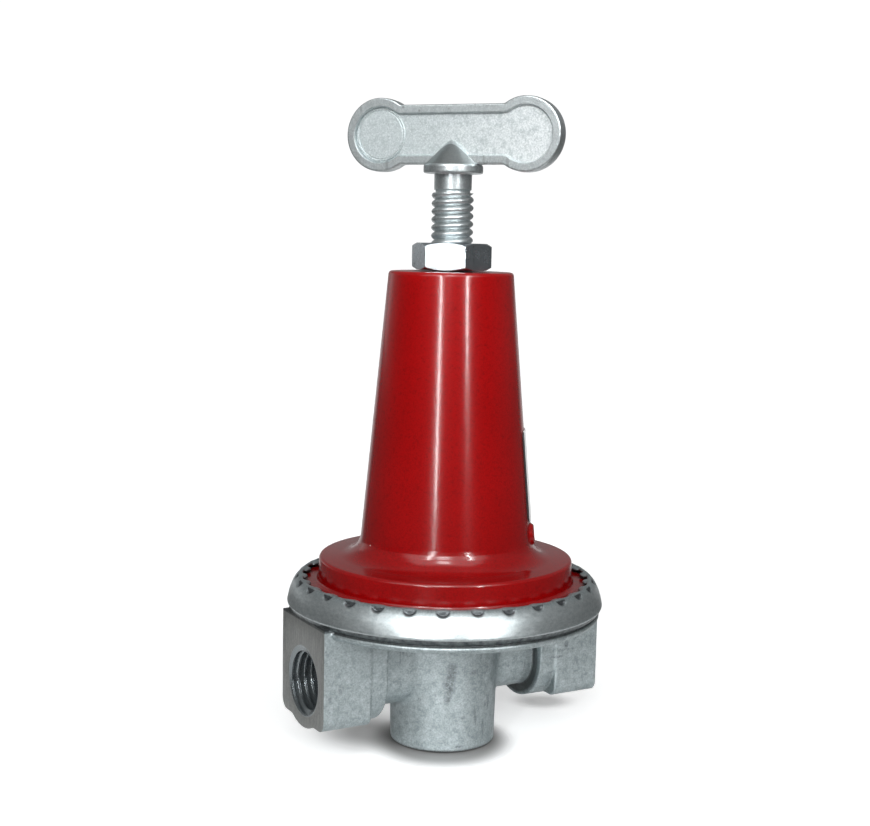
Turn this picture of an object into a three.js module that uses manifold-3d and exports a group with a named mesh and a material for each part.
// Adjustable high-pressure gas regulator: a die-cast body with two opposed 1/4 NPT ports, a
// crimped-in tapered spring bonnet, and a one-piece T-handle adjusting screw locked by a jam nut.
// Millimetres, +Z up along the screw axis, port axis along X (inlet on -X), origin at the centre
// of the boss's bottom face. Azimuths are in degrees from +X.
import * as THREE from 'three';
import { mergeVertices } from 'three/addons/utils/BufferGeometryUtils.js';
import Module from 'manifold-3d';

const wasm = await Module();
wasm.setup();

// Naming: _R radius, _X0/_X1 inner and outer end, _Z0/_Z1 bottom and top.
const FIT = 0.3;             // working gap between neighbouring pieces
const OVERLAP = 0.5;         // how far joined or cut shapes run into each other

// ---------------------------------------------------------------- geometry helpers
const radians = THREE.MathUtils.degToRad;

function signedVolume(geometry) {
  const { position } = geometry.attributes;
  const index = geometry.index.array;
  const corners = [0, 1, 2].map(() => new THREE.Vector3());
  let sum = 0;
  for (let k = 0; k < index.length; k += 3) {
    corners.forEach((corner, i) => corner.fromBufferAttribute(position, index[k + i]));
    sum += corners[0].dot(corners[1].cross(corners[2]));
  }
  return sum / 6;
}

// Welds a closed geometry, drops collapsed triangles and turns its faces outward.
function solid(geometry) {
  geometry.deleteAttribute('normal');
  geometry.deleteAttribute('uv');
  const welded = mergeVertices(geometry, 1e-4);
  const index = welded.index.array;
  const triangles = [];
  for (let k = 0; k < index.length; k += 3) {
    const [a, b, c] = [index[k], index[k + 1], index[k + 2]];
    if (a !== b && b !== c && c !== a) triangles.push(a, b, c);
  }
  welded.setIndex(triangles);
  if (signedVolume(welded) < 0) {
    for (let k = 0; k < triangles.length; k += 3) {
      [triangles[k + 1], triangles[k + 2]] = [triangles[k + 2], triangles[k + 1]];
    }
  }
  return new wasm.Manifold(new wasm.Mesh({
    numProp: 3,
    vertProperties: new Float32Array(welded.attributes.position.array),
    triVerts: new Uint32Array(triangles),
  }));
}

function surface(manifold) {
  const { vertProperties, triVerts } = manifold.getMesh();
  const geometry = new THREE.BufferGeometry();
  geometry.setAttribute('position', new THREE.BufferAttribute(vertProperties, 3));
  geometry.setIndex(Array.from(triVerts));
  return geometry;
}

// A profile of [radius, height] points turned about Z; it is closed unless it ends on the axis.
function turned(profile, segments) {
  const points = profile.map(([radius, z]) => new THREE.Vector2(radius, z));
  const endsOnAxis = profile[0][0] === 0 && profile[profile.length - 1][0] === 0;
  if (!endsOnAxis) points.push(points[0].clone());
  return solid(new THREE.LatheGeometry(points, segments).rotateX(Math.PI / 2));
}

function flatRing(innerR, outerR, z0, z1, segments) {
  return turned([[innerR, z0], [outerR, z0], [outerR, z1], [innerR, z1]], segments);
}

function rod(radius, z0, z1, segments) {
  const geometry = new THREE.CylinderGeometry(radius, radius, z1 - z0, segments, 1);
  return solid(geometry.rotateX(Math.PI / 2).translate(0, 0, (z0 + z1) / 2));
}

// Geometry of a cylinder or cone along X: startR at x0, endR at x1.
function cylinderAlongX(startR, endR, x0, x1, segments) {
  return new THREE.CylinderGeometry(endR, startR, x1 - x0, segments, 1)
    .rotateZ(-Math.PI / 2)
    .translate((x0 + x1) / 2, 0, 0);
}

function extrusion(shape, depth, curveSegments) {
  return new THREE.ExtrudeGeometry(shape, { depth, bevelEnabled: false, curveSegments });
}

// An outline in (x, z), extruded along Y from -half to +half.
function plate(shape, half, curveSegments) {
  return solid(extrusion(shape, 2 * half, curveSegments).translate(0, 0, -half).rotateX(Math.PI / 2));
}

// An outline in (y, z), extruded along X between two distances on one side (-1 or +1).
function runAlongX(shape, side, innerX, outerX, curveSegments) {
  const x0 = Math.min(side * innerX, side * outerX);
  const x1 = Math.max(side * innerX, side * outerX);
  const shapeToYZ = new THREE.Matrix4().set(
    0, 0, 1, x0,
    1, 0, 0, 0,
    0, 1, 0, 0,
    0, 0, 0, 1,
  );
  return solid(extrusion(shape, x1 - x0, curveSegments).applyMatrix4(shapeToYZ));
}

function polygon(sides, radius) {
  const shape = new THREE.Shape();
  shape.moveTo(radius, 0);
  for (let i = 1; i < sides; i++) {
    const angle = 2 * Math.PI * i / sides;
    shape.lineTo(radius * Math.cos(angle), radius * Math.sin(angle));
  }
  shape.closePath();
  return shape;
}

const hexCornerR = (acrossFlats) => acrossFlats / 2 / Math.cos(Math.PI / 6);

function hexPrism(acrossFlats, boreR, z0, z1, curveSegments) {
  const shape = polygon(6, hexCornerR(acrossFlats));
  const bore = new THREE.Path();
  bore.absarc(0, 0, boreR, 0, 2 * Math.PI, true);
  shape.holes.push(bore);
  return solid(extrusion(shape, z1 - z0, curveSegments).translate(0, 0, z0));
}

// Centreline of a compression spring with closed end coils.
class Coil extends THREE.Curve {
  constructor(spec) {
    super();
    this.spec = spec;
  }

  getPoint(t, target = new THREE.Vector3()) {
    const { coilR, wireR, z0, z1, turns, endTurns } = this.spec;
    const turn = t * turns;
    const low = z0 + wireR;
    const high = z1 - wireR;
    const closedPitch = 2 * wireR + 0.12;
    const activeTurns = turns - 2 * endTurns;
    const activeRise = high - low - 2 * endTurns * closedPitch;
    let z;
    if (turn < endTurns) z = low + turn * closedPitch;
    else if (turn > turns - endTurns) z = high - (turns - turn) * closedPitch;
    else z = low + endTurns * closedPitch + (turn - endTurns) / activeTurns * activeRise;
    const angle = 2 * Math.PI * turn;
    return target.set(coilR * Math.cos(angle), coilR * Math.sin(angle), z);
  }
}

function spring(spec) {
  return solid(new THREE.ExtrudeGeometry(polygon(spec.wireSides, spec.wireR), {
    steps: Math.round(spec.turns * spec.stepsPerTurn),
    extrudePath: new Coil(spec),
    bevelEnabled: false,
  }));
}

// ---------------------------------------------------------------- finishes
const finish = (look) => new THREE.MeshStandardMaterial({ ...look, flatShading: true });
const castZinc = finish({ color: 0x8f9694, roughness: 0.45, metalness: 0.85 });
const platedZinc = finish({ color: 0xb4bab6, roughness: 0.3, metalness: 0.9 });
const redEnamel = finish({ color: 0x9c0a0c, roughness: 0.2, metalness: 0.0 });
const steel = finish({ color: 0xa7aaa8, roughness: 0.3, metalness: 0.95 });
const springSteel = finish({ color: 0x6d7074, roughness: 0.35, metalness: 0.9 });
const brass = finish({ color: 0xb48a3c, roughness: 0.3, metalness: 0.9 });
const rubber = finish({ color: 0x1d1d1d, roughness: 0.8, metalness: 0.0 });
const foil = finish({ color: 0xe6e6e4, roughness: 0.4, metalness: 0.1 });
const screenMesh = finish({ color: 0x9a9a90, roughness: 0.4, metalness: 0.8 });

// ---------------------------------------------------------------- body casting
const BOSS_BOTTOM_R = 10.7;
const BOSS_TOP_R = 11.3;     // where the boss meets the flange
const FLANGE_Z = 26.2;       // underside of the diaphragm flange
const FLOOR_Z = 27.9;        // floor of the diaphragm chamber
const FLOOR_R = 24.0;
const LEDGE_Z = 30.6;        // ledge that the diaphragm is clamped on
const LEDGE_R = 24.6;        // its inner edge
const RIM_R = 32.2;          // outer radius of the crimped rim
const RIM_BORE_R = 29.4;     // bore of the rim, around the bonnet's flange
const LIP_Z0 = 33.5;         // crimped lip
const LIP_Z1 = 34.4;
const LIP_R = 28.3;          // its inner radius

// ports, 1/4-18 NPT
const PORT_Z = 15.9;         // height of the port axis
const PORT_X = 31.5;         // port faces at +-X
const PORT_FACE_R = 6.85;    // thread major radius at the face
const PORT_END_R = 6.2;      // and at the bottom of the tapered thread
const PORT_END_X = PORT_X - 11.6; // face less the thread depth
const SCREEN_SEAT_R = 5.9;
const SCREEN_SEAT_X0 = 18.0;
const PASSAGE_R = 3.0;       // drilled gas passages
const OUTLET_PASSAGE_X0 = 11.0;
const RISER_R = 2.4;         // riser from the outlet passage to the diaphragm chamber
const RISER_X = 13.6;

const BLOCK_HALF = 9.85;     // half width of the square wrench block
const BLOCK_Z0 = 7.9;
const BLOCK_Z1 = 28.2;
const BLOCK_X0 = 21.2;
const BLOCK_CORNER_R = 2.2;  // its bottom corners
const COLLAR_R = 9.3;        // collar behind the block
const COLLAR_X0 = 17.6;
const TUBE_R = 6.85;         // arms between boss and collars
const ARM_TOP_Z = FLANGE_Z + 0.4; // top of tubes and collars, inside the flange
const INLET_SHIFT = 0.3;     // sideways (+Y) offset of the inlet block and collar

const CHAMBER_R = 5.4;       // valve chamber
const CHAMBER_Z0 = 3.0;
const NOZZLE_BORE_R = 6.6;
const NOZZLE_LEDGE_Z = 20.0;

const portRod = (startR, endR, x0, x1, segments) =>
  solid(cylinderAlongX(startR, endR, x0, x1, segments).translate(0, 0, PORT_Z));

// YZ outline: round below the port axis, straight-sided above.
function uSection(radius, shift) {
  const shape = new THREE.Shape();
  shape.moveTo(shift + radius, ARM_TOP_Z);
  shape.lineTo(shift - radius, ARM_TOP_Z);
  shape.lineTo(shift - radius, PORT_Z);
  shape.absarc(shift, PORT_Z, radius, Math.PI, 2 * Math.PI, false);
  shape.closePath();
  return shape;
}

// YZ outline: a square with rounded bottom corners.
function blockSection(shift) {
  const y0 = shift - BLOCK_HALF;
  const y1 = shift + BLOCK_HALF;
  const corner = BLOCK_CORNER_R;
  const cornerZ = BLOCK_Z0 + corner;
  const shape = new THREE.Shape();
  shape.moveTo(y1, BLOCK_Z1);
  shape.lineTo(y0, BLOCK_Z1);
  shape.lineTo(y0, cornerZ);
  shape.absarc(y0 + corner, cornerZ, corner, Math.PI, 1.5 * Math.PI, false);
  shape.lineTo(y1 - corner, BLOCK_Z0);
  shape.absarc(y1 - corner, cornerZ, corner, 1.5 * Math.PI, 2 * Math.PI, false);
  shape.closePath();
  return shape;
}

const boss = () => turned([
  [0, 0], [BOSS_BOTTOM_R - 0.4, 0], [BOSS_BOTTOM_R, 0.5],
  [BOSS_TOP_R, FLANGE_Z + OVERLAP], [0, FLANGE_Z + OVERLAP],
], 36);

const flange = () => turned([
  [0, FLANGE_Z], [30.7, FLANGE_Z], [31.55, 27.0], [31.15, 27.9], [31.9, 28.5], [RIM_R, 29.2],
  [31.98, 30.6], [31.34, 32.5], [30.35, 33.86], [29.4, LIP_Z1], [LIP_R, LIP_Z1], [LIP_R, LIP_Z0],
  [RIM_BORE_R, LIP_Z0], [RIM_BORE_R, LEDGE_Z], [LEDGE_R, LEDGE_Z], [FLOOR_R, FLOOR_Z], [0, FLOOR_Z],
], 48);

// The parts of the two arms take a side: -1 inlet, +1 outlet.
const shiftOf = (side) => (side < 0 ? INLET_SHIFT : 0);
const tube = (side) => runAlongX(uSection(TUBE_R, 0), side, 0, COLLAR_X0 + OVERLAP, 12);
const collar = (side) => runAlongX(uSection(COLLAR_R, shiftOf(side)), side, COLLAR_X0, PORT_X, 14);
const wrenchBlock = (side) => runAlongX(blockSection(shiftOf(side)), side, BLOCK_X0, PORT_X, 4);

function portHole(side) {
  const openX = PORT_X + 0.01; // just clear of the face
  return side < 0
    ? portRod(PORT_FACE_R, PORT_END_R, -openX, -PORT_END_X, 28)
    : portRod(PORT_END_R, PORT_FACE_R, PORT_END_X, openX, 28);
}

function bodyCasting() {
  const sides = [-1, 1];
  const casting = [boss(), flange(), ...[tube, collar, wrenchBlock].flatMap((part) => sides.map(part))]
    .reduce((joined, part) => joined.add(part));
  // Also trims the wrench blocks, which rise above the chamber floor.
  const diaphragmChamber = turned(
    [[0, FLOOR_Z], [FLOOR_R, FLOOR_Z], [LEDGE_R, LEDGE_Z], [0, LEDGE_Z]], 48);
  const screenSeat = portRod(
    SCREEN_SEAT_R, SCREEN_SEAT_R, -PORT_END_X - OVERLAP, -SCREEN_SEAT_X0, 20);
  const inletPassage = portRod(PASSAGE_R, PASSAGE_R, -SCREEN_SEAT_X0 - OVERLAP, 0, 14);
  const outletPassage = portRod(
    PASSAGE_R, PASSAGE_R, OUTLET_PASSAGE_X0, PORT_END_X + OVERLAP, 14);
  return [
    diaphragmChamber,
    ...sides.map(portHole),
    screenSeat,
    inletPassage,
    outletPassage,
    rod(RISER_R, PORT_Z, FLOOR_Z + 1, 12).translate([RISER_X, 0, 0]),
    rod(CHAMBER_R, CHAMBER_Z0, NOZZLE_LEDGE_Z + OVERLAP, 24),
    rod(NOZZLE_BORE_R, NOZZLE_LEDGE_Z, FLOOR_Z + 1, 24),
  ].reduce((rest, cut) => rest.subtract(cut), casting);
}

// ---------------------------------------------------------------- bonnet
const BONNET_FLANGE_R = RIM_BORE_R - FIT;
const BONNET_BORE_R = 24.0;
const BONNET_Z0 = 32.0;
const BONNET_FLANGE_Z1 = LIP_Z0 - FIT;
const BASE_R = 25.8;         // stepped base disc
const BASE_Z1 = 38.25;
const CONE_BOTTOM_R = 17.6;  // tapered spring housing, radius at CONE_Z0
const CONE_Z0 = 41.0;
const CONE_TOP_R = 12.5;
const CONE_Z1 = 96.0;
const WALL = 2.2;
const TOP_PLATE_Z0 = 89.0;
const SCREW_BORE_R = 4.5;    // shared with the jam nut
const VENT_AZIMUTH = -36;
const VENT_Z = 43.4;

const coneR = (z) =>
  CONE_BOTTOM_R + (CONE_TOP_R - CONE_BOTTOM_R) * (z - CONE_Z0) / (CONE_Z1 - CONE_Z0);

// A rod along the vent's direction; its ends are measured outward from CONE_BOTTOM_R.
function ventRod(radius, from, to, segments) {
  const geometry = cylinderAlongX(
    radius, radius, CONE_BOTTOM_R + from, CONE_BOTTOM_R + to, segments);
  return solid(geometry.rotateZ(radians(VENT_AZIMUTH)).translate(0, 0, VENT_Z));
}

function bonnet() {
  const ceilingR = coneR(TOP_PLATE_Z0) - WALL;
  const baseCeilingZ = BASE_Z1 - WALL;
  const shell = turned([
    // flange and base disc
    [BONNET_BORE_R, BONNET_Z0], [BONNET_FLANGE_R, BONNET_Z0], [BONNET_FLANGE_R, BONNET_FLANGE_Z1],
    [BASE_R + 0.5, BONNET_FLANGE_Z1], [BASE_R, BONNET_FLANGE_Z1 + 0.5],
    [BASE_R, BASE_Z1 - 0.9], [BASE_R - 0.3, BASE_Z1 - 0.25], [BASE_R - 1, BASE_Z1],
    // fillet up to the cone
    [CONE_BOTTOM_R + 5.1, BASE_Z1], [CONE_BOTTOM_R + 2.9, BASE_Z1 + 0.45],
    [CONE_BOTTOM_R + 1.2, BASE_Z1 + 1.65], [CONE_BOTTOM_R + 0.15, BASE_Z1 + 3.3],
    // cone and its rounded top edge
    [coneR(CONE_Z0 + 2.2), CONE_Z0 + 2.2], [coneR(CONE_Z1 - 0.7), CONE_Z1 - 0.7],
    [CONE_TOP_R - 0.2, CONE_Z1 - 0.2], [CONE_TOP_R - 0.7, CONE_Z1],
    // screw bore, then down the inside
    [SCREW_BORE_R, CONE_Z1], [SCREW_BORE_R, TOP_PLATE_Z0],
    [ceilingR - 1.2, TOP_PLATE_Z0], [ceilingR, TOP_PLATE_Z0 - 1.2],
    [CONE_BOTTOM_R - WALL, CONE_Z0 - 1.5], [CONE_BOTTOM_R - WALL + 1.2, baseCeilingZ],
    [BONNET_BORE_R - 1, baseCeilingZ], [BONNET_BORE_R, baseCeilingZ - 1],
  ], 44);
  const ventBoss = ventRod(2.15, -1.6, 0.7, 16);
  const ventHole = ventRod(1.0, -WALL - 2, 2, 10);
  const ventRecess = ventRod(1.6, -0.3, 2, 14);
  return shell.add(ventBoss).subtract(ventHole).subtract(ventRecess);
}

const ventScreen = () => ventRod(1.45, -0.2, 0.15, 14);

// Paper-thin foil label, wrapped part of the way round the cone.
const LABEL = {
  z0: 46.0, z1: 64.6, gap: 0.12, thickness: 0.22, fromAzimuth: -46.5, toAzimuth: 80, steps: 30,
};

function bonnetLabel() {
  const { z0, z1, gap, thickness, fromAzimuth, toAzimuth, steps } = LABEL;
  const outer = gap + thickness;
  const section = [[gap, z0], [outer, z0], [outer, z1], [gap, z1]]; // [offset from cone, height]
  const positions = [];
  const index = [];
  const quad = (a, b, c, d) => index.push(a, b, c, a, c, d);
  for (let i = 0; i <= steps; i++) {
    const angle = radians(fromAzimuth + (toAzimuth - fromAzimuth) * i / steps);
    for (const [offset, z] of section) {
      const radius = coneR(z) + offset;
      positions.push(radius * Math.cos(angle), radius * Math.sin(angle), z);
    }
  }
  for (let i = 0; i < steps; i++) {
    for (let k = 0; k < 4; k++) {
      const next = (k + 1) % 4;
      quad(4 * i + k, 4 * i + next, 4 * i + 4 + next, 4 * i + 4 + k);
    }
  }
  const last = 4 * steps;
  quad(3, 2, 1, 0);
  quad(last, last + 1, last + 2, last + 3);
  const geometry = new THREE.BufferGeometry();
  geometry.setAttribute('position', new THREE.Float32BufferAttribute(positions, 3));
  geometry.setIndex(index);
  return solid(geometry);
}

// ---------------------------------------------------------------- T-handle adjusting screw
const THREAD_R = 4.2;
const SCREW_TIP_Z = 78.0;
const NECK_R = 3.75;
const NECK_Z0 = 111.8;
const HEAD_COLLAR_R = 5.9;
const HEAD_COLLAR_Z0 = 115.3;
const HEAD_COLLAR_Z1 = 116.8;
const HEAD_APEX_Z = 122.6;
const HANDLE_Z = 122.92;     // centre height of the T bar
const HANDLE_AZIMUTH = -51.7;
const LOBE_X = 15.4;         // lobe centres at +-X
const LOBE_R = 7.35;
const BAR_HALF_HEIGHT = 5.9;
const BAR_THICKNESS = 3.4;
const PANEL_DEPTH = 0.8;     // recess on each face
const PANEL_BORDER = 1.75;   // raised border around the recess
const PANEL_CUT_HALF = 0.5;  // half thickness of the cutter
const MEDALLION_R = 5.2;     // plain round disc on the -X lobe, both faces
const MEDALLION_THICKNESS = 0.5;

// Two round lobes joined by a straight bar, as a closed outline about the origin.
function lobedOutline(lobeR, barHalf) {
  const shape = new THREE.Shape();
  const joint = Math.asin(barHalf / lobeR);
  shape.absarc(LOBE_X, 0, lobeR, -(Math.PI - joint), Math.PI - joint, false);
  shape.absarc(-LOBE_X, 0, lobeR, joint, 2 * Math.PI - joint, false);
  shape.closePath();
  return shape;
}

function adjustingScrew() {
  let screw = plate(lobedOutline(LOBE_R, BAR_HALF_HEIGHT), BAR_THICKNESS / 2, 12)
    .translate([0, 0, HANDLE_Z]);
  const panelOutline = lobedOutline(LOBE_R - PANEL_BORDER, BAR_HALF_HEIGHT - PANEL_BORDER);
  const panelY = BAR_THICKNESS / 2 - PANEL_DEPTH; // bottom of the recess
  for (const side of [-1, 1]) {
    const panel = plate(panelOutline, PANEL_CUT_HALF, 10)
      .translate([0, side * (panelY + PANEL_CUT_HALF), HANDLE_Z]);
    const medallion = solid(
      new THREE.CylinderGeometry(MEDALLION_R, MEDALLION_R, MEDALLION_THICKNESS, 20, 1),
    ).translate([-LOBE_X, side * (panelY + 0.1), HANDLE_Z]);
    screw = screw.subtract(panel).add(medallion);
  }
  return screw.add(turned([
    [0, SCREW_TIP_Z], [THREAD_R - 1, SCREW_TIP_Z], [THREAD_R, SCREW_TIP_Z + 1],
    [THREAD_R, NECK_Z0 - 0.4], [NECK_R, NECK_Z0], [NECK_R, HEAD_COLLAR_Z0 - 0.3],
    [HEAD_COLLAR_R - 0.3, HEAD_COLLAR_Z0], [HEAD_COLLAR_R, HEAD_COLLAR_Z0 + 0.3],
    [HEAD_COLLAR_R, HEAD_COLLAR_Z1 - 0.2], [HEAD_COLLAR_R - 0.4, HEAD_COLLAR_Z1 + 0.2],
    [0, HEAD_APEX_Z],
  ], 24));
}

// ---------------------------------------------------------------- jam nut
const NUT_ACROSS_FLATS = 14.0;
const NUT_Z0 = CONE_Z1 + FIT;
const NUT_Z1 = 101.6;
const NUT_AZIMUTH = -39.9;   // direction of one corner

function jamNut() {
  const faceR = NUT_ACROSS_FLATS / 2 - 0.1;
  const cornerR = hexCornerR(NUT_ACROSS_FLATS) + 0.05;
  const chamfer = 0.75;
  return hexPrism(NUT_ACROSS_FLATS, SCREW_BORE_R, NUT_Z0, NUT_Z1, 12).intersect(turned([
    [0, NUT_Z0], [faceR, NUT_Z0], [cornerR, NUT_Z0 + chamfer],
    [cornerR, NUT_Z1 - chamfer], [faceR, NUT_Z1], [0, NUT_Z1],
  ], 24));
}

// ---------------------------------------------------------------- spring stack
const BUTTON_Z = 73.5;       // face of the button that the main spring bears on
const BUTTON_TOP_Z = SCREW_TIP_Z - 0.1;
const PLATE_Z0 = 31.7;       // diaphragm plate
const PLATE_Z1 = 32.8;
const POST_R = 3.0;          // post through the diaphragm
const POST_BORE_R = POST_R + FIT;
const POST_NUT_BORE_R = 3.25; // post nut and its washer

const springButton = () => turned([
  [0, BUTTON_Z - 2.6], [6.6, BUTTON_Z - 2.6], [7.2, BUTTON_Z], [9.9, BUTTON_Z],
  [9.9, BUTTON_Z + 1.5], [5.2, BUTTON_Z + 1.5], [5.0, BUTTON_TOP_Z], [0, BUTTON_TOP_Z],
], 24);

const mainSpring = () => spring({
  coilR: 8.75, wireR: 1.15, z0: PLATE_Z1 + 0.1, z1: BUTTON_Z - 0.1,
  turns: 8.5, endTurns: 1, stepsPerTurn: 12, wireSides: 5,
});

const diaphragmPlate = () => turned([
  [POST_BORE_R, PLATE_Z0], [15.2, PLATE_Z0], [16.2, PLATE_Z0 + 0.7], [16.2, PLATE_Z0 + 1.5],
  [15.4, PLATE_Z1 + 0.4], [14.8, PLATE_Z1], [7.2, PLATE_Z1], [7.0, PLATE_Z1 + 2.6],
  [6.1, PLATE_Z1 + 2.6], [6.0, PLATE_Z1], [POST_BORE_R, PLATE_Z1],
], 28);

const slipRing = () => flatRing(24.4, 28.9, 31.65, 31.95, 40);

// Flat disc with one raised ring-shaped fold.
const diaphragm = () => turned([
  [POST_BORE_R, 30.65], [16.9, 30.65], [18.3, 31.7], [19.9, 32.3], [21.5, 31.7], [22.9, 30.65],
  [29.0, 30.65], [29.0, 31.6], [23.3, 31.6], [21.9, 32.8], [19.9, 33.3], [17.9, 32.8],
  [16.5, 31.6], [POST_BORE_R, 31.6],
], 36);

const diaphragmWasher = () => turned([
  [POST_BORE_R, 29.65], [9.6, 29.65], [9.9, 30.0], [9.6, 30.55], [POST_BORE_R, 30.55],
], 24);

const pusherPost = () => turned([
  [0, 19.4], [0.9, 19.4], [1.2, 19.8], [1.2, 27.6], [2.2, 28.1], [4.6, 28.3], [4.6, 29.55],
  [POST_R, 29.55], [POST_R, 36.6], [2.6, 37.1], [0, 37.1],
], 18);

const postLockWasher = () => flatRing(POST_NUT_BORE_R, 5.0, 32.9, 33.5, 18);
const postNut = () => hexPrism(8.0, POST_NUT_BORE_R, 33.6, 36.1, 10);

// ---------------------------------------------------------------- valve
const valveNozzle = () => turned([
  [1.9, 19.5], [2.5, 19.5], [3.4, 20.3], [5.2, 20.3], [6.3, 20.6], [6.3, 23.2], [5.2, 23.2],
  [5.2, 25.0], [6.3, 25.0], [6.3, 26.2], [3.0, 26.2], [1.9, 25.1],
], 24);

function nozzleORing() {
  const ringR = 5.93;
  const ringZ = 24.1;
  const cordR = 0.6;
  const section = Array.from({ length: 8 }, (_, i) => {
    const angle = i * Math.PI / 4;
    return [ringR + cordR * Math.cos(angle), ringZ + cordR * Math.sin(angle)];
  });
  return turned(section, 24);
}

const valveSeatDisc = () => rod(3.3, 17.4, 19.35, 24);

const valvePoppet = () => turned([
  [0, 5.6], [1.5, 5.6], [1.9, 6.0], [1.9, 15.4], [4.3, 15.4], [4.3, 18.7], [3.5, 18.7],
  [3.5, 17.3], [0, 17.3],
], 20);

const poppetSpring = () => spring({
  coilR: 3.0, wireR: 0.4, z0: CHAMBER_Z0 + 0.1, z1: 15.3,
  turns: 8, endTurns: 1, stepsPerTurn: 10, wireSides: 4,
});

// ---------------------------------------------------------------- inlet screen and its snap ring
const inletScreen = () => portRod(5.5, 5.5, -18.9, -18.2, 24);
const screenRing = () => portRod(5.6, 5.6, -PORT_END_X, -19.1, 24)
  .subtract(portRod(4.5, 4.5, -20.2, -18.8, 24));

// ---------------------------------------------------------------- assembly
const root = new THREE.Group();

function add(parent, name, manifold, material) {
  const piece = new THREE.Mesh(surface(manifold), material);
  piece.name = name;
  parent.add(piece);
}

function turnedGroup(azimuth) {
  const group = new THREE.Group();
  group.rotation.z = radians(azimuth);
  root.add(group);
  return group;
}

add(root, 'body_casting', bodyCasting(), castZinc);
add(root, 'bonnet', bonnet(), redEnamel);
add(root, 'vent_screen', ventScreen(), screenMesh);
add(root, 'bonnet_label', bonnetLabel(), foil);
add(turnedGroup(HANDLE_AZIMUTH), 'adjusting_screw', adjustingScrew(), platedZinc);
add(turnedGroup(NUT_AZIMUTH), 'jam_nut', jamNut(), steel);
add(root, 'spring_button', springButton(), steel);
add(root, 'main_spring', mainSpring(), springSteel);
add(root, 'diaphragm_plate', diaphragmPlate(), steel);
add(root, 'slip_ring', slipRing(), steel);
add(root, 'diaphragm', diaphragm(), rubber);
add(root, 'diaphragm_washer', diaphragmWasher(), steel);
add(root, 'pusher_post', pusherPost(), brass);
add(root, 'post_lock_washer', postLockWasher(), springSteel);
add(root, 'post_nut', postNut(), steel);
add(root, 'valve_nozzle', valveNozzle(), brass);
add(root, 'nozzle_o_ring', nozzleORing(), rubber);
add(root, 'valve_seat_disc', valveSeatDisc(), rubber);
add(root, 'valve_poppet', valvePoppet(), brass);
add(root, 'poppet_spring', poppetSpring(), springSteel);
add(root, 'inlet_screen', inletScreen(), screenMesh);
add(root, 'screen_ring', screenRing(), springSteel);

export default root;
